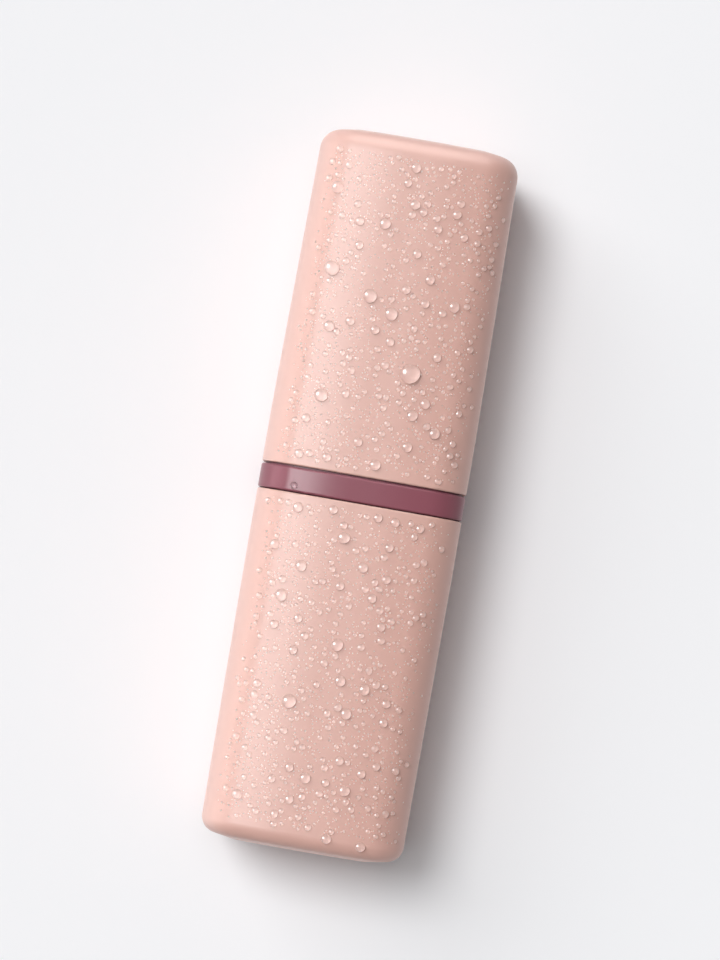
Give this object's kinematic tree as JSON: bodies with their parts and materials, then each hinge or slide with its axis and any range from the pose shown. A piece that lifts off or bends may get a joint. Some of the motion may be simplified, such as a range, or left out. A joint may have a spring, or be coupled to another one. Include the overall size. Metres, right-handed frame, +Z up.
{
  "type": "toothbrush travel case",
  "caption": "Rounded oblong travel case for toothbrushes whose upper half pulls off a sealed collar to serve as a rinsing cup, with a lift-out brush rack inside.",
  "frame": {"origin": "under the middle of the case, on the surface that its broad face lies on", "axes": "+Y along the case towards the closed end of the cup, +Z up out of the broad face, +X across the case"},
  "size_m": [0.0592, 0.205, 0.046],
  "materials": {
    "shell": "fine matt grain, pale pink",
    "collar": "satin, plum",
    "seal": "translucent white silicone",
    "rack": "satin, off-white"
  },
  "bodies": {
    "case": {"lower_case": "shell", "collar_ring": "collar", "cup_seal": "seal", "case_seal": "seal"},
    "cup": {"upper_cup": "shell"},
    "rack": {"brush_rack": "rack"}
  },
  "joints": [
    {"name": "cup_pull", "type": "slide", "parent": "case", "child": "cup", "axis": [0, 1, 0], "range_m": [0, 0.11]},
    {"name": "rack_lift", "type": "slide", "parent": "case", "child": "rack", "axis": [0, 1, 0], "range_m": [0, 0.062]}
  ]
}
